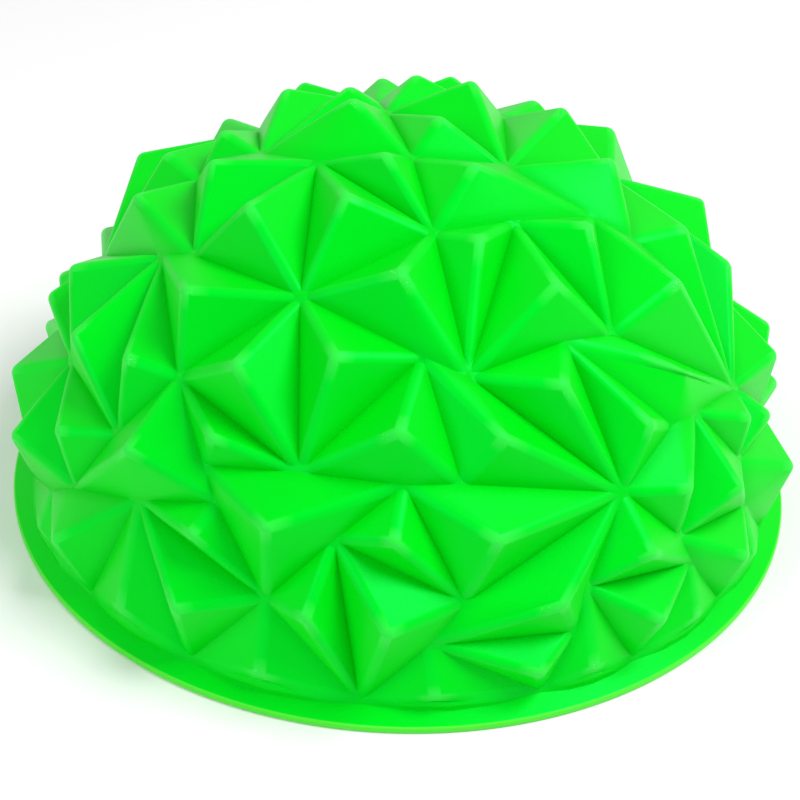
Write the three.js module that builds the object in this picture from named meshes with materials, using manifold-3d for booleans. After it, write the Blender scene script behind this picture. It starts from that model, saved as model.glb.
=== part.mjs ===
// Faceted balance pod: a hollow, air-filled half dome of soft PVC with a pyramid-studded
// tread, closed from below by a round base panel that carries the inflation valve.
//
// Millimetres, +Z up. The origin is the centre of the underside, on the floor.
// Headings are measured from the front (-Y) towards the right (+X), tilts down from the crown.
import * as THREE from "three";
import { mergeVertices } from "three/addons/utils/BufferGeometryUtils.js";
import Module from "manifold-3d";

const wasm = await Module();
wasm.setup();

// ---- Driving dimensions -------------------------------------------------------------------

const gap = 0.3; // clearance between pieces that touch
const roundSegments = 72;

const valleyRadius = 74.5; // sphere that the valleys between the pyramids lie on
const steepness = 1.15; // height of a pyramid over the radius of the circle in its base
const skinThickness = 3;

const flangeRadius = 78.4;
const flangeThickness = 2.8; // where it leaves the dome
const brimThickness = 1.5; // at its outer edge
const brimEdge = 0.4; // chamfer on the two outer corners
const footHeight = 0.4; // plain wall between the flange and the lowest pyramids
const toeRadius = 76.5; // how far out the lowest pyramids stand on the flange
const toeShares = [0.25, 0.5, 0.75]; // places along a pyramid's lower edge

const baseRadius = 70;
const baseThickness = 2.8;
const recessRadius = 15; // finger recess round the plug
const recessDepth = 6;
const bossRadius = 19;
const bossThickness = 2.5;

const seatRadius = 5.5;
const seatLipRadius = 8;
const seatLip = 1.3;
const seatLength = 13;
const plugRadius = 2.4;
const plugHeadRadius = 4.8;
const plugHead = 1.8;
const plugLength = 8;
const valveLength = 6;
const slitWidth = 0.6;

// ---- Tread pattern ------------------------------------------------------------------------

// Corners of the tread, each [heading, tilt] in degrees, ring by ring from the crown down.
const rings = {
  crown: [
    [0, 4], [10, 20], [45, 21], [80, 14], [75, 28], [150, 29], [197, 14], [261, 23], [284, 14],
  ],
  shoulder: [
    [4, 39], [13, 42], [36, 40], [48, 42], [78, 35], [112, 35], [170, 43], [192, 28], [227, 35],
    [261, 34], [288, 40], [297, 36], [333, 33],
  ],
  waist: [
    [1, 56], [10, 56], [37, 62], [51, 57], [58, 58], [74, 62], [99, 58], [128, 63], [173, 63],
    [203, 53], [230, 64], [263, 55], [286, 62], [309, 62], [316, 50], [328, 59], [332, 63],
    [344, 56], [351, 64],
  ],
  hem: [
    [5, 78], [10, 72], [26, 79], [28, 73], [46, 72], [48, 77], [65, 77], [66, 70], [87, 74],
    [111, 74], [148, 75], [188, 77], [212, 72], [240, 78], [266, 68], [296, 79], [303, 74],
    [318, 68], [342, 74],
  ],
};
const rimHeadings = [21, 36, 55, 74, 100, 124, 144, 167, 190, 213, 232, 256, 280, 311, 331, 356];
const rimHeight = flangeThickness + footHeight;
const rimTilt = THREE.MathUtils.radToDeg(Math.acos(rimHeight / valleyRadius));
rings.rim = rimHeadings.map((heading) => [heading, rimTilt]);

// One pyramid per entry: its three corners in turn, by ring initial and place in the ring.
// A corner of its neighbours that lies along one of its edges stands in brackets.
const pyramids = `
  c9 c1 c2 | c1 c2 (c3) c5 (c4) | c8 c7 c1 (c9) | c7 c1 c4 | c7 c6 c4 | c6 c4 s6 |
  c4 (c5) s5 s6 | c7 s8 c8 | c7 c6 s8 |
  c9 c2 s13 | c9 s12 s13 | s10 (c8) c9 s12 | c2 s13 (s1) s2 | c2 c3 s2 | c3 s2 (s3) s4 |
  c3 c5 s4 | c6 s8 s7 | c8 s8 s9 | c8 s10 s9 |
  s11 (s12) s13 w15 | s13 w15 w18 | s13 s1 w18 | s1 w18 (w1) w2 | s1 (s2) w3 w2 | s2 s3 w3 |
  c5 s4 w6 (s5) | s3 (s4) w6 (w5) w4 | s3 w4 w3 | s6 s5 w6 | s6 w6 w7 | s6 w7 w8 |
  c6 s6 w8 | c6 s7 w8 | s7 w8 w9 | s7 w9 w10 | s8 s7 w10 | s8 s9 w10 | s9 w10 w11 |
  s9 w11 w12 | s10 s9 w12 | s10 w12 (s11) s12 | s11 w12 w13 | s11 w14 w13 | s11 w15 w14 |
  w15 w18 w16 | w16 (w18) w1 (w19) h19 (w17) | w15 (w14) h17 (h18) w17 (w16) |
  w13 w14 h17 | w13 h17 (h16) r13 | h18 w17 h19 | w1 w19 h2 | w1 (w2) w3 h2 |
  w3 (h4) h3 h1 (h2) | w3 h4 h6 (h5) | w3 (w4) w5 h5 | w5 (h8) h7 h5 | w6 w5 h8 |
  w6 h9 h8 | w7 w6 h9 | w7 h9 h10 | w7 h10 w8 | w8 h10 h11 | w8 h11 w9 | w9 h11 h12 |
  w9 h12 h13 | w9 w10 h13 | w10 h13 w11 | w11 h14 w12 | w12 h14 h15 | w12 h15 w13 |
  h18 h19 r15 | h18 r14 r15 | h16 (h17) h18 r14 | h16 r13 r14 | h19 r15 r16 |
  w19 h19 r16 | w19 h2 (h1) r16 | h1 r1 r16 | h1 h3 r1 | h4 (h3) r1 r2 | h4 h6 r2 |
  h6 r2 r3 | h5 h7 r3 (h6) | h8 h9 r4 (h7) | h7 r3 r4 | h9 r4 r5 | h9 h10 r5 |
  h10 r5 r6 | h10 h11 r6 | h11 r6 r7 | h11 r7 r8 | h11 h12 r8 | h12 r8 r9 | h12 r9 r10 |
  h12 h13 r10 | h13 r10 r11 | h13 w11 r11 | w11 h14 r11 | h14 r11 r12 | h14 h15 r12 |
  h15 r12 r13 | h15 w13 r13`;

// ---- Geometry helpers ---------------------------------------------------------------------

function onSphere([heading, tilt], radius) {
  const turn = THREE.MathUtils.degToRad(heading);
  const down = THREE.MathUtils.degToRad(tilt);
  const out = radius * Math.sin(down);
  return new THREE.Vector3(out * Math.sin(turn), -out * Math.cos(turn), radius * Math.cos(down));
}

function treadCorners(radius) {
  const corners = {};
  for (const [ring, places] of Object.entries(rings)) {
    places.forEach((place, i) => {
      corners[ring[0] + (i + 1)] = onSphere(place, radius);
    });
  }
  return corners;
}

// The top of a pyramid stands over the centre of the circle in its base, so that its three
// faces are equally steep.
function apexOver(a, b, c) {
  const sideA = b.distanceTo(c);
  const sideB = c.distanceTo(a);
  const sideC = a.distanceTo(b);
  const perimeter = sideA + sideB + sideC;
  const normal = b.clone().sub(a).cross(c.clone().sub(a));
  const inRadius = normal.length() / perimeter;
  normal.normalize();
  if (normal.dot(a) < 0) normal.negate();
  const centre = a.clone().multiplyScalar(sideA / perimeter);
  centre.addScaledVector(b, sideB / perimeter);
  centre.addScaledVector(c, sideC / perimeter);
  return centre.addScaledVector(normal, steepness * inRadius);
}

function triangleFacingOut(a, b, c, inside) {
  const normal = b.clone().sub(a).cross(c.clone().sub(a));
  return normal.dot(a.clone().sub(inside)) > 0 ? [a, b, c] : [a, c, b];
}

function toSolid(geometry) {
  const bare = geometry.clone();
  bare.deleteAttribute("normal");
  bare.deleteAttribute("uv");
  const merged = mergeVertices(bare, 1e-4);
  return new wasm.Manifold(
    new wasm.Mesh({
      numProp: 3,
      vertProperties: merged.getAttribute("position").array,
      triVerts: new Uint32Array(merged.index.array),
    }),
  );
}

function toGeometry(solid) {
  const mesh = solid.getMesh();
  const geometry = new THREE.BufferGeometry();
  geometry.setAttribute("position", new THREE.BufferAttribute(mesh.vertProperties, 3));
  geometry.setIndex(new THREE.BufferAttribute(mesh.triVerts, 1));
  geometry.computeVertexNormals();
  return geometry;
}

// A solid turned about +Z from [radius, height] points, listed anticlockwise.
function turned(points) {
  const profile = points.map(([r, z]) => new THREE.Vector2(r, z));
  profile.push(profile[0].clone());
  const lathe = new THREE.LatheGeometry(profile, roundSegments);
  return lathe.rotateX(Math.PI / 2);
}

function disc(radius, bottom, top) {
  return turned([[0, bottom], [radius, bottom], [radius, top], [0, top]]);
}

function piece(name, geometry, material) {
  const mesh = new THREE.Mesh(geometry, material);
  mesh.name = name;
  return mesh;
}

// ---- Dome shell ---------------------------------------------------------------------------

// The lower edge of a pyramid on the rim bows out between its corners.
function toesBetween(from, to, reach) {
  const middle = from.clone().lerp(to, 0.5).setZ(0);
  const out = middle.clone().normalize();
  const bow = reach - middle.length();
  return toeShares.map((share) =>
    from.clone().lerp(to, share).addScaledVector(out, 4 * share * (1 - share) * bow),
  );
}

// The part of the rim under a pyramid, from its one corner on the rim to its other.
function toesOf(outline, rim) {
  const places = outline.map((corner) => rim.indexOf(corner)).filter((place) => place >= 0);
  if (places.length < 2) return [];
  const step = toeShares.length + 1;
  const first = places.find((place) => places.includes((place + step) % rim.length));
  return Array.from({ length: step + 1 }, (_, k) => rim[(first + k) % rim.length]);
}

// A pyramid on the rim ends in an upright wall, so its top is drawn in and down over its toes.
function drawnIn(apex, reach) {
  const flat = apex.clone().setZ(0);
  const past = Math.max(0, flat.length() - reach);
  return apex.clone().addScaledVector(flat.normalize(), -past).setZ(apex.z - past);
}

// The solid under the tread, which goes straight down from its rim to a flat bottom.
function treadSolid(radius, bottom) {
  const corners = treadCorners(radius);
  const reach = toeRadius - valleyRadius + radius;
  const inside = new THREE.Vector3(0, 0, 0);
  const triangles = [];
  const rim = rings.rim.flatMap((_, i) => {
    const from = corners["r" + (i + 1)];
    const to = corners["r" + (((i + 1) % rings.rim.length) + 1)];
    return [from, ...toesBetween(from, to, reach)];
  });
  for (const entry of pyramids.split("|")) {
    const names = entry.trim().split(/\s+/);
    const outline = names.map((name) => corners[name.replace(/[()]/g, "")]);
    let apex = apexOver(...outline.filter((_, i) => !names[i].startsWith("(")));
    const toes = toesOf(outline, rim);
    if (toes.length) apex = drawnIn(apex, reach);
    outline.forEach((from, i) => {
      const to = outline[(i + 1) % outline.length];
      const edge = rim.includes(from) && rim.includes(to) ? toes : [from, to];
      edge.slice(1).forEach((next, k) => {
        triangles.push(triangleFacingOut(edge[k], next, apex, inside));
      });
    });
  }
  const middle = new THREE.Vector3(0, 0, bottom);
  const foot = rim.map((point) => point.clone().setZ(bottom));
  rim.forEach((from, i) => {
    const next = (i + 1) % rim.length;
    triangles.push([from, foot[i], rim[next]]);
    triangles.push([rim[next], foot[i], foot[next]]);
    triangles.push([middle, foot[next], foot[i]]);
  });
  const geometry = new THREE.BufferGeometry().setFromPoints(triangles.flat());
  return toSolid(geometry);
}

function domeShell() {
  const flange = toSolid(
    turned([
      [0, 0],
      [flangeRadius - brimEdge, 0],
      [flangeRadius, brimEdge],
      [flangeRadius, brimThickness - brimEdge],
      [flangeRadius - brimEdge, brimThickness],
      [valleyRadius, flangeThickness],
      [0, flangeThickness],
    ]),
  );
  const opening = toSolid(disc(baseRadius + gap, -1, baseThickness + gap));
  const hollow = treadSolid(valleyRadius - skinThickness, flangeThickness);
  const moulding = treadSolid(valleyRadius, 0).add(flange);
  return toGeometry(moulding.subtract(hollow).subtract(opening));
}

// ---- Base and valve -----------------------------------------------------------------------

const seatBore = plugRadius + gap;
const recessRoof = recessDepth + bossThickness;
const seatTop = recessDepth - gap - seatLip + seatLength;

function basePanel() {
  return turned([
    [recessRadius, 0],
    [baseRadius, 0],
    [baseRadius, baseThickness],
    [bossRadius, baseThickness],
    [bossRadius - 1, recessRoof],
    [seatRadius + gap, recessRoof],
    [seatRadius + gap, recessDepth],
    [recessRadius - 1, recessDepth],
  ]);
}

// A soft bush with a lip under the recess roof and a barb above it.
function valveSeat() {
  const lipBottom = recessDepth - gap - seatLip;
  const barb = recessRoof + gap;
  return turned([
    [seatBore, lipBottom],
    [seatLipRadius, lipBottom],
    [seatLipRadius, lipBottom + seatLip],
    [seatRadius, lipBottom + seatLip],
    [seatRadius, barb],
    [seatLipRadius - 1, barb],
    [seatRadius, barb + 2 * seatLip],
    [seatRadius, seatTop],
    [seatBore, seatTop],
  ]);
}

// A thimble that sits on the seat and closes in a slit, like a duck's bill.
function checkValve() {
  const bottom = seatTop + gap;
  const top = bottom + valveLength;
  const wall = 1.2;
  const thimble = toSolid(
    turned([
      [seatBore, bottom],
      [seatRadius, bottom],
      [seatRadius, bottom + wall],
      [seatBore + wall, bottom + wall],
      [wall, top],
      [0, top],
      [0, top - wall],
      [seatBore, bottom + wall],
    ]),
  );
  const slit = new THREE.BoxGeometry(2 * wall, slitWidth, 4 * wall).translate(0, 0, top);
  return toGeometry(thimble.subtract(toSolid(slit)));
}

function valvePlug() {
  const headTop = recessDepth - gap - seatLip - gap;
  const headBottom = headTop - plugHead;
  const tip = headTop + plugLength;
  return turned([
    [0, headBottom],
    [plugHeadRadius - 0.5, headBottom],
    [plugHeadRadius, headBottom + 0.5],
    [plugHeadRadius, headTop],
    [plugRadius, headTop],
    [plugRadius, tip - 1],
    [plugRadius - 0.6, tip],
    [0, tip],
  ]);
}

// ---- Assembly -----------------------------------------------------------------------------

const greenPvc = new THREE.MeshStandardMaterial({ color: 0x07d81c, roughness: 0.4, metalness: 0 });
const paleRubber = new THREE.MeshStandardMaterial({ color: 0xe6e6dc, roughness: 0.5, metalness: 0 });

const group = new THREE.Group();
group.add(
  piece("dome_shell", domeShell(), greenPvc),
  piece("base_panel", basePanel(), greenPvc),
  piece("valve_seat", valveSeat(), greenPvc),
  piece("check_valve", checkValve(), paleRubber),
  piece("valve_plug", valvePlug(), paleRubber),
);

export default group;
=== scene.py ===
"""Balance pod: the looks of a small air-filled half dome in soft green PVC."""

import math

import bmesh
import bpy
from bpy.props import FloatProperty, FloatVectorProperty, IntProperty, PointerProperty
from bpy.types import Operator, Panel, PropertyGroup
from mathutils import Matrix, Vector, kdtree
from mathutils.geometry import intersect_point_line


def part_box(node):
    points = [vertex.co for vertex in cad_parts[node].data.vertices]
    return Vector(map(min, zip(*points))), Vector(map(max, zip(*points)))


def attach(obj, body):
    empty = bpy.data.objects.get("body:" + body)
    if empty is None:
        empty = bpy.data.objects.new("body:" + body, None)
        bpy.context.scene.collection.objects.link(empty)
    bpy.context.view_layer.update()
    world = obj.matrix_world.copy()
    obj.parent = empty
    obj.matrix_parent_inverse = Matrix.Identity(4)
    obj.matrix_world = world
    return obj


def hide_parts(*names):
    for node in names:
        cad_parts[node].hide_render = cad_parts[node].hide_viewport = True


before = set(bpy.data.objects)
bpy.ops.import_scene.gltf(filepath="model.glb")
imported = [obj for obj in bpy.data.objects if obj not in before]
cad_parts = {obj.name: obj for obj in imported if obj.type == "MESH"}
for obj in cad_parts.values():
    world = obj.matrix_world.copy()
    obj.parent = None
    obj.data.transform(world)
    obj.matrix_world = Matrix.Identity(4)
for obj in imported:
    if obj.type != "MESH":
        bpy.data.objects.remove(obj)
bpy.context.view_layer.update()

bl_info = {
    "name": "Balance pod",
    "version": (1, 0, 0),
    "blender": (4, 5, 0),
    "location": "3D View > Sidebar > Pod",
    "description": "Builds the tread, base, valve and studio of a balance pod",
    "category": "Add Mesh",
}

MM = 0.001
FULL_TURN = math.tau
UP = Vector((0, 0, 1))

SAME_POINT = 0.002 * MM  # corners of the CAD mesh closer than this are one corner
NEAR = 0.1 * MM  # how far a corner may be from the sphere or rim that it lies on
SEAM = 0.02 * MM  # points on the two sides of a valley closer than this are joined
SHARP_VALLEY = math.radians(30)  # valleys steeper than this stay crisp
BRIM_EDGE = 0.3 * MM  # width of the flange's rounded edge
# Heights and reaches of the loops under the tread, as shares of the foot's height.
FOOT_FILLET = ((0.35, 0.1), (0.1, 0.4), (0.0, 0.9))
FOOT_SHADE = 0.6  # valley mark at the top of the foot

GREEN_SHEEN = (0.05, 1.0, 0.62, 1.0)
WHITE_SHEEN = (1.0, 1.0, 1.0, 1.0)
DUST = (0.7, 0.95, 0.72, 1.0)
PATCHES = 160.0  # patches of dust per metre
PATCH_LEVELS = (0.56, 0.68)  # noise where a patch starts and where it is full
SPECKS = 1900.0  # specks of dust per metre
SPECK_SIZES = (0.12, 0.3)  # core and edge of a speck, as shares of its cell
CLOUD_ROUGHNESS = 0.18
GRAIN_ROUGHNESS = 0.10
GRAIN_BUMP = 0.12
GRAIN_DEPTH = 0.2 * MM
TOP_START = 0.8  # share of the climb to a pyramid's tip where its painted highlight and dust start
CLOUD_SHARE = 0.16  # how strongly each mark colours the moulded PVC: painted shade in the valleys, painted highlights on ridges and tips
VALLEY_SHADE_SHARE = 0.28
RIDGE_HIGHLIGHT_SHARE = 0.07
TIP_HIGHLIGHT_SHARE = 0.2
RIM_SHARE = 0.3
# Sockets of a colour mix.
MIX_SHARE = 0
MIX_FIRST = 6
MIX_SECOND = 7
MIX_RESULT = 2

CAMERA_TARGET = Vector((0, 0, 0.0244))
CAMERA_DISTANCE = 0.390
CAMERA_ELEVATION = math.radians(33.8)
CAMERA_ROLL = math.radians(2.38)
CAMERA_LENS = 87.7
CAMERA_SENSOR = 36
CAMERA_SHIFT = (-0.004, -0.042)
LIGHT_TARGET = Vector((0, 0, 0.03))
SOFTBOXES = {  # place, size and power
    "key": ((0.5, -0.1, 0.8), 0.5, 6.6),
    "fill": ((-0.6, -0.5, 0.5), 0.6, 2.5),
}
WORLD_STRENGTH = 0.58
FLOOR_SIZE = 3.0
FLOOR_ROUGHNESS = 0.8


# ---- Settings ---------------------------------------------------------------------------


def length(name, description, millimetres):
    return FloatProperty(
        name=name,
        description=description,
        default=millimetres * MM,
        min=0.0,
        unit="LENGTH",
        subtype="DISTANCE",
    )


def fraction(name, description, value):
    return FloatProperty(name=name, description=description, default=value, min=0.0, max=1.0)


def count(name, description, number):
    return IntProperty(name=name, description=description, default=number, min=1)


def colour(name, description, red, green, blue):
    return FloatVectorProperty(
        name=name,
        description=description,
        default=(red, green, blue),
        min=0.0,
        max=1.0,
        subtype="COLOR",
    )


class PodSizes(PropertyGroup):
    ridge_width: length("Ridge width", "How far the rounding reaches from a ridge", 1.4)
    ridge_steps: count("Ridge steps", "Faces across a rounded ridge", 6)
    rows: count("Rows", "Cuts between a valley and the top of its pyramid", 11)
    swell: length("Swell", "How far each facet swells out of its flat", 0.2)
    swell_reach: length("Swell reach", "Distance from a valley where it is full", 3.0)
    valley_radius: length("Valley radius", "Radius of the sphere the valleys lie on", 74.5)
    inner_radius: length("Inner radius", "Radius of the dome's hollow", 69.0)
    flange_radius: length("Flange radius", "Radius of the flange", 78.4)
    flange_thickness: length("Flange thickness", "Its thickness at the dome", 2.8)
    brim_thickness: length("Brim thickness", "Its thickness at the outer edge", 1.5)
    toe_tuck: fraction("Toe tuck", "Share of their reach that the lowest feet lose", 0.5)
    foot_height: length("Foot height", "Plain wall under the lowest pyramids", 0.4)
    opening_radius: length("Opening radius", "Radius of the opening for the base", 70.3)
    groove_depth: length("Groove depth", "Depth of the grip grooves underneath", 0.5)
    groove_pitch: length("Groove pitch", "Distance between grip grooves", 4.0)
    round_steps: count("Round steps", "Steps in a full turn", 192)


class PodColours(PropertyGroup):
    pvc: colour("PVC", "Green of the moulding", 0.0, 0.70, 0.006)
    # Painted highlight along the rounded ridges.
    ridge_highlight_pvc: colour("Ridge PVC", "Cooler green where ridges are worn", 0.0, 0.86, 0.085)
    # Painted highlight on the pyramids' tips.
    tip_highlight_pvc: colour("Apex PVC", "Pale green on rubbed tops", 0.13, 0.88, 0.19)
    # Painted shade in the valleys and under the lowest pyramids; also the darker green of the
    # PVC's random clouds.
    dark_pvc_and_valley_shade: colour("Valley PVC", "Deeper green in the valleys", 0.0, 0.47, 0.0)
    # Lighter yellow green on the brim's rounded outer edge.
    brim_edge_pvc: colour("Thin PVC", "Yellow green where the brim is thin", 0.28, 0.93, 0.10)
    rubber: colour("Rubber", "Milky rubber of the valve", 0.74, 0.74, 0.66)
    rubbed_rubber: colour("Rubbed rubber", "Greyer rubber on the edges", 0.60, 0.60, 0.54)
    floor: colour("Floor", "Pale studio floor", 0.88, 0.88, 0.88)


# ---- Mesh helpers -----------------------------------------------------------------------


def finished(bm, name, material):
    """Makes an object of the bmesh, smooth-shaded apart from its steep valleys."""
    bmesh.ops.recalc_face_normals(bm, faces=bm.faces)
    for face in bm.faces:
        face.smooth = True
    for edge in bm.edges:
        edge.smooth = edge.calc_face_angle_signed(0) > -SHARP_VALLEY
    mesh = bpy.data.meshes.new(name)
    bm.to_mesh(mesh)
    bm.free()
    mesh.materials.append(material)
    piece = bpy.data.objects.new(name, mesh)
    bpy.context.collection.objects.link(piece)
    return piece


def spun(bm, points, steps):
    """Spins a chain of (radius, height) points once round the upright axis."""
    chain = [bm.verts.new((radius, 0.0, height)) for radius, height in points]
    edges = [bm.edges.new(pair) for pair in zip(chain, chain[1:])]
    bmesh.ops.spin(
        bm,
        geom=chain + edges,
        cent=(0, 0, 0),
        axis=UP,
        angle=FULL_TURN,
        steps=steps,
        use_merge=True,
    )


def softened(points, radius, steps=4):
    """The closed chain of points with each corner eased into a curve."""
    most = 0.45  # share of a side that one corner may take
    chain = []
    for i, here in enumerate(points):
        corner = Vector(here)
        before = Vector(points[i - 1]) - corner
        after = Vector(points[(i + 1) % len(points)]) - corner
        start = corner + before.normalized() * min(radius, most * before.length)
        end = corner + after.normalized() * min(radius, most * after.length)
        for k in range(steps + 1):
            share = k / steps
            chain.append(start.lerp(corner, share).lerp(corner.lerp(end, share), share))
    chain.append(chain[0])
    return [tuple(point) for point in chain]


def arc(centre, radius, start, end, steps):
    """Points (radius, height) along an arc, with its angles in degrees from level outwards."""
    turns = [math.radians(start + (end - start) * i / steps) for i in range(steps + 1)]
    return [
        (centre[0] + radius * math.cos(turn), centre[1] + radius * math.sin(turn))
        for turn in turns
    ]


# ---- Tread ------------------------------------------------------------------------------


def tread_sheet(node, rim_height, inner_radius):
    """The outside of the CAD dome above its flange, as one open sheet."""
    bm = bmesh.new()
    bm.from_mesh(node.data)
    bmesh.ops.remove_doubles(bm, verts=bm.verts, dist=SAME_POINT)
    other = [
        face
        for face in bm.faces
        if face.normal.dot(face.calc_center_median()) <= 0
        or face.calc_center_median().length < inner_radius
        or min(vert.co.z for vert in face.verts) < rim_height - NEAR / 2
    ]
    bmesh.ops.delete(bm, geom=other, context="FACES")
    return bm


def tuck_toes(bm, sizes, rim_height):
    """Draws the feet of the lowest pyramids in, so that their walls stand steeply."""
    for vert in bm.verts:
        level = Vector((vert.co.x, vert.co.y, 0))
        past = level.length - sizes.valley_radius
        if vert.co.z < rim_height + NEAR and past > 0:
            vert.co -= level.normalized() * past * sizes.toe_tuck


def islands(bm):
    """The groups of faces that hang together."""
    groups = []
    seen = set()
    for first in bm.faces:
        if first in seen:
            continue
        seen.add(first)
        group = [first]
        for face in group:
            for edge in face.edges:
                fresh = [near for near in edge.link_faces if near not in seen]
                seen.update(fresh)
                group.extend(fresh)
        groups.append(group)
    return groups


def on_sphere(vert, sizes):
    """True for the corners where valleys meet."""
    return vert.co.length < sizes.valley_radius + NEAR


def round_pyramid(bm, faces, sizes, marks):
    """Rounds the three ridges of one pyramid, down to its corners in the valleys."""
    apex = next(v for face in faces for v in face.verts if not v.is_boundary)
    spokes = sorted(
        apex.link_edges,
        key=lambda edge: (
            not on_sphere(edge.other_vert(apex), sizes),
            -edge.calc_face_angle_signed(),
        ),
    )
    corners = [edge.other_vert(apex).co.copy() for edge in spokes[:3]]
    foot, _ = intersect_point_line(apex.co, corners[0], corners[1])
    top = (apex.co - foot).length
    if spokes[3:]:
        bmesh.ops.dissolve_edges(bm, edges=spokes[3:])
    rounded = bmesh.ops.bevel(
        bm,
        geom=spokes[:3],
        offset=sizes.ridge_width,
        offset_type="OFFSET",
        segments=sizes.ridge_steps,
        profile=0.5,
        affect="EDGES",
        clamp_overlap=True,
        loop_slide=False,
        material=-1,
    )
    band = set(rounded["faces"])
    for vert in rounded["verts"]:
        vert[marks["rise"]] = 0.0 if vert.is_boundary else top
        vert[marks["climb"]] = 0.0 if vert.is_boundary else 1.0
        vert[marks["ridge"]] = float(all(face in band for face in vert.link_faces))
    cut_ends = [e for face in rounded["faces"] for e in face.edges if e.is_boundary]
    for corner in corners:
        near = [
            edge
            for edge in cut_ends
            if min(corners, key=lambda c: (c - edge.verts[0].co).length) is corner
        ]
        nose = bmesh.ops.extrude_edge_only(bm, edges=near)
        tips = [v for v in nose["geom"] if isinstance(v, bmesh.types.BMVert)]
        for vert in tips:
            vert[marks["ridge"]] = 0.0
        bmesh.ops.pointmerge(bm, verts=tips, merge_co=corner)


def row_facets(bm, steps, rise):
    """Cuts the facets and ridges into rows that run along the valleys."""
    for face in list(bm.faces):
        tops = [vert for vert in face.verts if vert[rise] > 0]
        if len(tops) != 1 or len(face.verts) < 4:
            continue
        beside = {edge.other_vert(tops[0]) for edge in tops[0].link_edges}
        for vert in [v for v in face.verts if v not in beside and v is not tops[0]]:
            bmesh.ops.connect_verts(bm, verts=[tops[0], vert])
    climbing = [e for e in bm.edges if (e.verts[0][rise] > 0) != (e.verts[1][rise] > 0)]
    bmesh.ops.subdivide_edges(bm, edges=climbing, cuts=steps)


def swell(bm, height, reach, rise, valley):
    """Pushes the pyramids out a little, more steeply near the valleys."""
    bm.normal_update()
    for vert in bm.verts:
        nearness = max(0.0, 1 - vert[rise] / reach)
        # The valley mark, 1 on a valley and 0 from the reach on, places the painted valley shade.
        vert[valley] = nearness
        vert.co += vert.normal * height * (1 - nearness**2) * (vert[rise] > 0)


def stitch(bm, reach):
    """Gives both sides of every valley the same points, then joins them."""
    edges = [edge for edge in bm.edges if edge.is_boundary]
    verts = {vert for edge in edges for vert in edge.verts}
    tree = kdtree.KDTree(len(verts))
    for i, vert in enumerate(verts):
        tree.insert(vert.co, i)
    tree.balance()
    for edge in edges:
        start, end = (vert.co.copy() for vert in edge.verts)
        span = (end - start).length
        places = []
        for point, _, _ in tree.find_range((start + end) / 2, span / 2):
            foot, part = intersect_point_line(point, start, end)
            place = part * span
            if (point - foot).length < reach and reach < place < span - reach:
                if all(abs(place - other) > reach for other in places):
                    places.append(place)
        if not places:
            continue
        made = bmesh.ops.subdivide_edges(bm, edges=[edge], cuts=len(places))
        inner = [v for v in made["geom_inner"] if isinstance(v, bmesh.types.BMVert)]
        inner.sort(key=lambda vert: (vert.co - start).length)
        for vert, place in zip(inner, sorted(places)):
            vert.co = start.lerp(end, place / span)
    bmesh.ops.remove_doubles(bm, verts=bm.verts, dist=reach)


def outline_below(sizes):
    """The flange's section from its top to the pole of the hollow, as (radius, height)."""
    reach = sizes.flange_radius
    brim = sizes.brim_thickness
    lip = 0.5 * MM  # rounding of the flange's edges
    springing = sizes.flange_thickness + 0.6 * MM  # where the curve of the hollow starts
    ledge = 0.9 * MM  # height of the slope between the opening and the hollow
    profile = arc((reach - lip, brim - lip), lip, 75, 0, 5)
    profile += arc((reach - lip, lip), lip, 0, -90, 5)
    profile += arc((sizes.opening_radius + lip, lip), lip, 270, 180, 4)
    profile += [(sizes.opening_radius, springing - ledge)]
    start = math.degrees(math.asin(springing / sizes.inner_radius))
    profile += arc((0, 0), sizes.inner_radius, start, 90, 24)
    return profile


def add_foot(bm, sizes, marks):
    """Eases the foot of the tread out onto the sloping top of the flange."""
    slope = sizes.flange_thickness - sizes.brim_thickness
    slope /= sizes.flange_radius - sizes.valley_radius
    loop = [edge for edge in bm.edges if edge.is_boundary]
    bmesh.ops.subdivide_edges(bm, edges=loop, cuts=1)
    loop = [edge for edge in bm.edges if edge.is_boundary]
    for vert in {vert for edge in loop for vert in edge.verts}:
        vert[marks["reach"]] = Vector(vert.co.xy).length
    for height, out in FOOT_FILLET:
        made = bmesh.ops.extrude_edge_only(bm, edges=loop)["geom"]
        for vert in (v for v in made if isinstance(v, bmesh.types.BMVert)):
            reach = vert[marks["reach"]]
            top = sizes.flange_thickness - slope * max(0, reach - sizes.valley_radius)
            heading = Vector((vert.co.x, vert.co.y, 0)).normalized()
            place = heading * (reach + sizes.foot_height * out)
            vert.co = place + UP * (top + sizes.foot_height * height)
            # Painted shade under the lowest pyramids, darkest at the top of the foot.
            vert[marks["valley"]] = FOOT_SHADE * height / FOOT_FILLET[0][0]
        loop = [edge for edge in made if isinstance(edge, bmesh.types.BMEdge)]


def flange_mesh(sizes):
    """The flange and the inside of the hollow dome, with the brim's edge marked."""
    bm = bmesh.new()
    spun(bm, outline_below(sizes), sizes.round_steps)
    bmesh.ops.remove_doubles(bm, verts=bm.verts, dist=SAME_POINT)
    rim = bm.verts.layers.float.new("rim")
    for vert in bm.verts:
        vert[rim] = float(Vector(vert.co.xy).length > sizes.flange_radius - BRIM_EDGE)
    mesh = bpy.data.meshes.new("flange")
    bm.to_mesh(mesh)
    bm.free()
    return mesh


def add_flange(bm, sizes):
    """Closes the tread from below with the flange and the inside of the hollow dome."""
    mesh = flange_mesh(sizes)
    bm.from_mesh(mesh)
    bpy.data.meshes.remove(mesh)
    ends = [edge for edge in bm.edges if edge.is_boundary]
    bmesh.ops.bridge_loops(bm, edges=ends)


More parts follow.
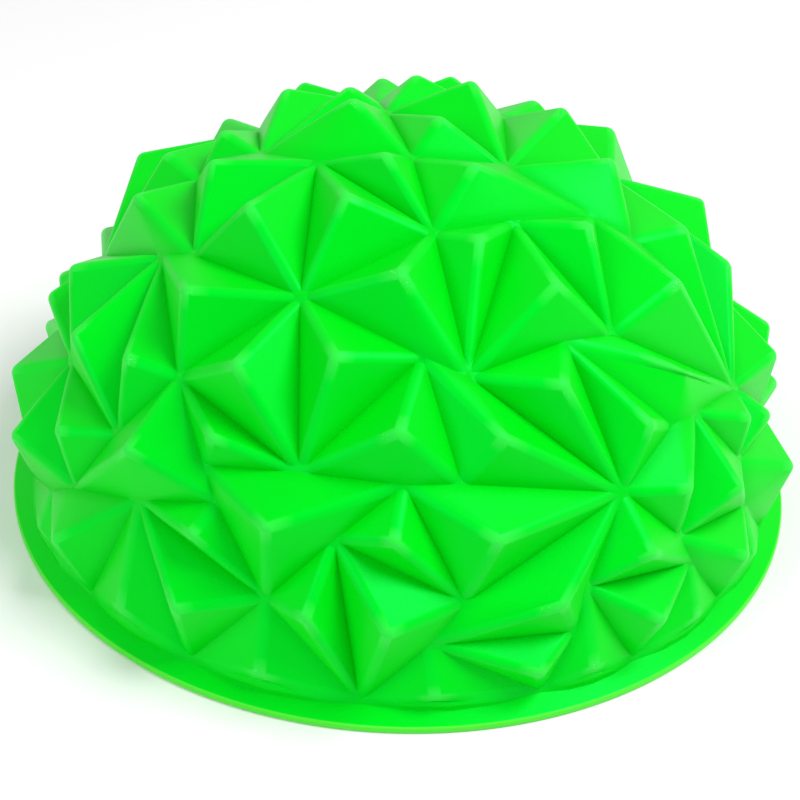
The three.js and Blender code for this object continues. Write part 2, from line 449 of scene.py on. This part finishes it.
def build_tread(sizes):
    """The tread, closed below, with its ridge and valley marks for the material's painted
    highlights, dust and painted shade.
    """
    rim_height = sizes.flange_thickness + sizes.foot_height
    bm = tread_sheet(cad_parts["dome_shell"], rim_height, sizes.inner_radius)
    tuck_toes(bm, sizes, rim_height)
    valleys = [
        edge
        for edge in bm.edges
        if not edge.is_boundary
        and all(on_sphere(vert, sizes) or vert.co.z < rim_height + NEAR for vert in edge.verts)
    ]
    bmesh.ops.split_edges(bm, edges=valleys)
    names = ("rise", "climb", "ridge", "valley", "rim", "reach")
    for name in names:
        bm.verts.layers.float.new(name)
    marks = {name: bm.verts.layers.float[name] for name in names}
    for faces in islands(bm):
        round_pyramid(bm, faces, sizes, marks)
    row_facets(bm, sizes.rows, marks["rise"])
    swell(bm, sizes.swell, sizes.swell_reach, marks["rise"], marks["valley"])
    stitch(bm, SEAM)
    add_foot(bm, sizes, marks)
    add_flange(bm, sizes)
    return bm


# ---- Finishes ---------------------------------------------------------------------------


def node(tree, kind, values=None, **settings):
    """Adds a node, sets its properties and fills or links its inputs."""
    made = tree.nodes.new(kind)
    for name, value in settings.items():
        setattr(made, name, value)
    for key, value in (values or {}).items():
        if isinstance(value, bpy.types.NodeSocket):
            tree.links.new(value, made.inputs[key])
        else:
            made.inputs[key].default_value = value
    return made


def blend_colours(tree, share, first, second):
    """The output of a mix of two colours, where either may be another output."""
    inputs = {MIX_SHARE: share, MIX_FIRST: first, MIX_SECOND: second}
    mixed = node(tree, "ShaderNodeMix", inputs, data_type="RGBA")
    return mixed.outputs[MIX_RESULT]


def calculate(tree, operation, first, second):
    """The output of a sum or product, held between 0 and 1."""
    inputs = {0: first, 1: second}
    made = node(tree, "ShaderNodeMath", inputs, operation=operation, use_clamp=True)
    return made.outputs[0]


def ramp(tree, value, start, end, first=0.0, last=1.0):
    """The output that goes from first to last while the value goes from start to end."""
    inputs = {
        "Value": value,
        "From Min": start,
        "From Max": end,
        "To Min": first,
        "To Max": last,
    }
    return node(tree, "ShaderNodeMapRange", inputs).outputs[0]


def new_group(name, inputs, outputs):
    """A shader node group with its named sockets."""
    group = bpy.data.node_groups.new(name, "ShaderNodeTree")
    for label, kind, value in inputs:
        socket = group.interface.new_socket(label, in_out="INPUT", socket_type=kind)
        socket.default_value = value
    for label, kind in outputs:
        group.interface.new_socket(label, in_out="OUTPUT", socket_type=kind)
    start = group.nodes.new("NodeGroupInput")
    end = group.nodes.new("NodeGroupOutput")
    return group, start, end


def moulded_grain_group():
    """Slow clouds, fine grain and stray dust of a moulded surface."""
    name = "moulded_grain"
    if name in bpy.data.node_groups:
        return bpy.data.node_groups[name]
    group, start, end = new_group(
        name,
        [
            ("Cloud Scale", "NodeSocketFloat", 30.0),
            ("Grain Scale", "NodeSocketFloat", 1600.0),
            ("Dust", "NodeSocketFloat", 0.5),
        ],
        [("Cloud", "NodeSocketFloat"), ("Grain", "NodeSocketFloat"), ("Dust", "NodeSocketFloat")],
    )
    place = node(group, "ShaderNodeTexCoord").outputs["Object"]
    cloud = node(
        group,
        "ShaderNodeTexNoise",
        {"Vector": place, "Scale": start.outputs["Cloud Scale"], "Detail": 3.0},
    )
    grain = node(
        group,
        "ShaderNodeTexNoise",
        {"Vector": place, "Scale": start.outputs["Grain Scale"], "Detail": 2.0},
    )
    patches = node(group, "ShaderNodeTexNoise", {"Vector": place, "Scale": PATCHES})
    cells = node(group, "ShaderNodeTexVoronoi", {"Vector": place, "Scale": SPECKS})
    near = ramp(group, cells.outputs["Distance"], *SPECK_SIZES, 1.0, 0.0)
    few = ramp(group, patches.outputs[0], *PATCH_LEVELS)
    specks = calculate(group, "MULTIPLY", near, few)
    dust = calculate(group, "MULTIPLY", specks, start.outputs["Dust"])
    group.links.new(cloud.outputs[0], end.inputs["Cloud"])
    group.links.new(grain.outputs[0], end.inputs["Grain"])
    group.links.new(dust, end.inputs["Dust"])
    return group


def new_material(name, roughness, specular, sheen, values):
    """A material with the moulded grain in its roughness and bump; returns its parts."""
    material = bpy.data.materials.new(name)
    material.use_nodes = True
    tree = material.node_tree
    shader = tree.nodes["Principled BSDF"]
    shader.inputs["Specular IOR Level"].default_value = specular
    shader.inputs["Specular Tint"].default_value = sheen
    grain = node(tree, "ShaderNodeGroup", node_tree=moulded_grain_group())
    for key, value in values.items():
        grain.inputs[key].default_value = value
    spread = calculate(tree, "MULTIPLY", grain.outputs["Cloud"], CLOUD_ROUGHNESS)
    fine = calculate(tree, "MULTIPLY", grain.outputs["Grain"], GRAIN_ROUGHNESS)
    rough = calculate(tree, "ADD", calculate(tree, "ADD", spread, fine), roughness)
    tree.links.new(rough, shader.inputs["Roughness"])
    bump = node(
        tree,
        "ShaderNodeBump",
        {"Height": grain.outputs["Grain"], "Strength": GRAIN_BUMP, "Distance": GRAIN_DEPTH},
    )
    tree.links.new(bump.outputs["Normal"], shader.inputs["Normal"])
    return material, tree, shader, grain


def opaque(shade):
    """The colour with full alpha."""
    return (*shade, 1.0)


def mark(tree, name):
    """The output that reads one of the tread's marks."""
    return node(tree, "ShaderNodeAttribute", attribute_name=name).outputs["Fac"]


def moulded_pvc(colours):
    """Satin green PVC: a cooler painted highlight on the ridges, a pale painted highlight and
    dust on the tips, painted shade in the valleys.
    """
    values = {"Cloud Scale": 26.0, "Grain Scale": 1500.0, "Dust": 0.3}
    material, tree, shader, grain = new_material("moulded_pvc", 0.27, 0.26, GREEN_SHEEN, values)
    cloud = calculate(tree, "MULTIPLY", grain.outputs["Cloud"], CLOUD_SHARE)
    base = blend_colours(tree, cloud, opaque(colours.pvc), opaque(colours.dark_pvc_and_valley_shade))
    # Painted shade near the valleys and at the top of the foot.
    deep = calculate(tree, "MULTIPLY", mark(tree, "valley"), VALLEY_SHADE_SHARE)
    base = blend_colours(tree, deep, base, opaque(colours.dark_pvc_and_valley_shade))
    # Painted highlight: a cooler, lighter green along the rounded ridges.
    ridge = calculate(tree, "MULTIPLY", mark(tree, "ridge"), RIDGE_HIGHLIGHT_SHARE)
    base = blend_colours(tree, ridge, base, opaque(colours.ridge_highlight_pvc))
    # Painted highlight: pale green on the pyramids' tips; the same tip mask also places the dust.
    climbed = ramp(tree, mark(tree, "climb"), TOP_START, 1.0)
    top = calculate(tree, "MULTIPLY", climbed, mark(tree, "ridge"))
    rubbed = calculate(tree, "MULTIPLY", top, TIP_HIGHLIGHT_SHARE)
    base = blend_colours(tree, rubbed, base, opaque(colours.tip_highlight_pvc))
    # Lighter yellow green on the brim's rounded outer edge.
    brim = calculate(tree, "MULTIPLY", mark(tree, "rim"), RIM_SHARE)
    base = blend_colours(tree, brim, base, opaque(colours.brim_edge_pvc))
    dust = calculate(tree, "MULTIPLY", grain.outputs["Dust"], top)
    base = blend_colours(tree, dust, base, DUST)
    tree.links.new(base, shader.inputs["Base Color"])
    return material


def plain_pvc(colours):
    """The same PVC without tread marks, for the base and the valve's seat."""
    if "base_pvc" in bpy.data.materials:
        return bpy.data.materials["base_pvc"]
    values = {"Cloud Scale": 30.0, "Grain Scale": 1500.0, "Dust": 0.12}
    material, tree, shader, grain = new_material("base_pvc", 0.36, 0.3, GREEN_SHEEN, values)
    base = blend_colours(
        tree, grain.outputs["Cloud"], opaque(colours.pvc), opaque(colours.dark_pvc_and_valley_shade)
    )
    base = blend_colours(tree, grain.outputs["Dust"], base, DUST)
    tree.links.new(base, shader.inputs["Base Color"])
    return material


def milky_rubber(colours):
    """Off-white soft rubber, a little greyer in clouds where it is rubbed."""
    if "milky_rubber" in bpy.data.materials:
        return bpy.data.materials["milky_rubber"]
    values = {"Cloud Scale": 90.0, "Grain Scale": 2400.0}
    material, tree, shader, grain = new_material("milky_rubber", 0.42, 0.4, WHITE_SHEEN, values)
    base = blend_colours(
        tree, grain.outputs["Cloud"], opaque(colours.rubber), opaque(colours.rubbed_rubber)
    )
    tree.links.new(base, shader.inputs["Base Color"])
    return material


# ---- Pieces -----------------------------------------------------------------------------


def settle(piece, body, stands_for):
    """Puts the piece on the body that it rides on and hides the CAD node that it stands for."""
    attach(piece, body)
    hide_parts(stands_for)


def turned_piece(name, section, steps, material):
    """A closed section turned about the upright axis."""
    bm = bmesh.new()
    spun(bm, section, steps)
    bmesh.ops.remove_doubles(bm, verts=bm.verts, dist=SAME_POINT)
    return finished(bm, name, material)


def base_section(sizes):
    """The base panel's section, with its boss, finger recess and grip grooves."""
    low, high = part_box("base_panel")
    edge = high.x
    top = sizes.flange_thickness
    depth = sizes.groove_depth
    slant = 0.3 * MM  # how far each side of a groove leans
    flat = 1.2 * MM  # width of a groove's flat roof
    recess = 15 * MM
    recess_roof = 14 * MM
    recess_depth = 6 * MM
    seat_hole = 5.8 * MM
    boss = 19 * MM
    groove = ((0, 0), (slant, depth), (slant + flat, depth), (2 * slant + flat, 0))
    section = [(recess, low.z)]
    radius = recess + 9 * MM
    while radius + sizes.groove_pitch < edge - 2 * MM:
        section += [(radius + out, low.z + up) for out, up in groove]
        radius += sizes.groove_pitch
    section += [(edge, low.z), (edge, top), (boss, top), (boss - 1 * MM, high.z)]
    section += [(seat_hole, high.z), (seat_hole, recess_depth), (recess_roof, recess_depth)]
    return softened(section, 0.6 * MM)


def seat_section():
    """The valve seat's section: a lip under the recess roof and a barb above it."""
    low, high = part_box("valve_seat")
    bore = 2.7 * MM
    neck = 5.5 * MM
    lip_top = low.z + 1.3 * MM
    barb = 8.8 * MM
    barb_reach = high.x - 1 * MM
    section = [(bore, low.z), (high.x, low.z), (high.x, lip_top), (neck, lip_top)]
    section += [(neck, barb), (barb_reach, barb), (neck, barb + 2.6 * MM)]
    section += [(neck, high.z), (bore, high.z)]
    return softened(section, 0.4 * MM)


def plug_section():
    """The plug's section from the middle of its dished head to the end of its stem."""
    low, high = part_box("valve_plug")
    head = high.x
    head_top = low.z + 1.8 * MM
    head_edge = 0.6 * MM
    head_lip = 0.4 * MM
    dish_roof = low.z + 0.5 * MM
    stem = 2.4 * MM
    fillet = 0.3 * MM
    tip = 0.8 * MM
    section = [(0, dish_roof), (2.2 * MM, dish_roof)]
    section += arc((3.2 * MM, low.z + head_edge), head_edge, 190, 270, 4)
    section += arc((head - head_edge, low.z + head_edge), head_edge, 270, 360, 5)
    section += arc((head - head_lip, head_top - head_lip), head_lip, 0, 90, 4)
    section += arc((stem + fillet, head_top + fillet), fillet, 270, 180, 4)
    section += [(stem, high.z - 1.6 * MM), (stem + 0.15 * MM, high.z - 1.3 * MM)]
    section += arc((stem - tip, high.z - tip), tip, 0, 90, 5)
    return section + [(0, high.z)]


class POD_OT_dome(Operator):
    """Build the moulded dome with its rounded tread and flange"""

    bl_idname = "pod.dome"
    bl_label = "Dome"

    def execute(self, context):
        scene = context.scene
        bm = build_tread(scene.pod_sizes)
        piece = finished(bm, "moulded_dome", moulded_pvc(scene.pod_colours))
        crisp = piece.modifiers.new("flat_facets", "WEIGHTED_NORMAL")
        crisp.keep_sharp = True
        settle(piece, "pod", "dome_shell")
        return {"FINISHED"}


class POD_OT_base(Operator):
    """Build the grooved base panel with its finger recess"""

    bl_idname = "pod.base"
    bl_label = "Base panel"

    def execute(self, context):
        scene = context.scene
        section = base_section(scene.pod_sizes)
        steps = scene.pod_sizes.round_steps
        piece = turned_piece("grooved_base", section, steps, plain_pvc(scene.pod_colours))
        settle(piece, "pod", "base_panel")
        return {"FINISHED"}


class POD_OT_valve(Operator):
    """Build the valve's seat and plug, and finish the check valve"""

    bl_idname = "pod.valve"
    bl_label = "Valve"

    def execute(self, context):
        colours = context.scene.pod_colours
        seat = turned_piece("seat_bush", seat_section(), 64, plain_pvc(colours))
        settle(seat, "pod", "valve_seat")
        plug = turned_piece("inflation_plug", plug_section(), 64, milky_rubber(colours))
        settle(plug, "plug", "valve_plug")
        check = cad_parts["check_valve"]
        check.data.materials.clear()
        check.data.materials.append(milky_rubber(colours))
        return {"FINISHED"}


# ---- Studio -----------------------------------------------------------------------------


def look_at(place, target, roll=0.0):
    """The matrix of a camera or light at a place, turned to face the target."""
    turn = (target - place).to_track_quat("-Z", "Y").to_matrix().to_4x4()
    return Matrix.Translation(place) @ turn @ Matrix.Rotation(roll, 4, "Z")


def add_camera():
    camera = bpy.data.cameras.new("camera")
    piece = bpy.data.objects.new("camera", camera)
    bpy.context.collection.objects.link(piece)
    away = Vector((0, -math.cos(CAMERA_ELEVATION), math.sin(CAMERA_ELEVATION)))
    place = CAMERA_TARGET + away * CAMERA_DISTANCE
    piece.matrix_world = look_at(place, CAMERA_TARGET, CAMERA_ROLL)
    camera.sensor_width = CAMERA_SENSOR
    camera.lens = CAMERA_LENS
    camera.shift_x, camera.shift_y = CAMERA_SHIFT
    camera.clip_start = 0.01
    bpy.context.scene.camera = piece


def add_softbox(name, place, size, power):
    light = bpy.data.lights.new(name, "AREA")
    light.shape = "DISK"
    light.size = size
    light.energy = power
    piece = bpy.data.objects.new(name, light)
    bpy.context.collection.objects.link(piece)
    piece.matrix_world = look_at(Vector(place), LIGHT_TARGET)


def add_floor(colours):
    bm = bmesh.new()
    bmesh.ops.create_grid(bm, x_segments=1, y_segments=1, size=FLOOR_SIZE)
    material = bpy.data.materials.new("studio_floor")
    material.use_nodes = True
    shader = material.node_tree.nodes["Principled BSDF"]
    shader.inputs["Base Color"].default_value = opaque(colours.floor)
    shader.inputs["Roughness"].default_value = FLOOR_ROUGHNESS
    floor = finished(bm, "studio_floor", material)


class POD_OT_stage(Operator):
    """Add the floor, the soft lights and the camera"""

    bl_idname = "pod.stage"
    bl_label = "Stage"

    def execute(self, context):
        scene = context.scene
        world = bpy.data.worlds.new("studio")
        scene.world = world
        world.use_nodes = True
        background = world.node_tree.nodes["Background"]
        background.inputs["Color"].default_value = (1, 1, 1, 1)
        background.inputs["Strength"].default_value = WORLD_STRENGTH
        scene.view_settings.view_transform = "Standard"
        add_floor(scene.pod_colours)
        add_camera()
        for name, (place, size, power) in SOFTBOXES.items():
            add_softbox(name, place, size, power)
        return {"FINISHED"}


class POD_PT_panel(Panel):
    """Lists the pod's pieces"""

    bl_idname = "POD_PT_panel"
    bl_label = "Balance pod"
    bl_space_type = "VIEW_3D"
    bl_region_type = "UI"
    bl_category = "Pod"

    def draw(self, context):
        for operator in OPERATORS:
            self.layout.operator(operator.bl_idname)


OPERATORS = (POD_OT_stage, POD_OT_dome, POD_OT_base, POD_OT_valve)
CLASSES = (PodSizes, PodColours, *OPERATORS, POD_PT_panel)


def register():
    for cls in CLASSES:
        bpy.utils.register_class(cls)
    bpy.types.Scene.pod_sizes = PointerProperty(type=PodSizes)
    bpy.types.Scene.pod_colours = PointerProperty(type=PodColours)


def unregister():
    del bpy.types.Scene.pod_colours
    del bpy.types.Scene.pod_sizes
    for cls in reversed(CLASSES):
        bpy.utils.unregister_class(cls)


def main():
    register()
    bpy.ops.pod.stage()
    bpy.ops.pod.dome()
    bpy.ops.pod.base()
    bpy.ops.pod.valve()


if __name__ == "__main__":
    main()
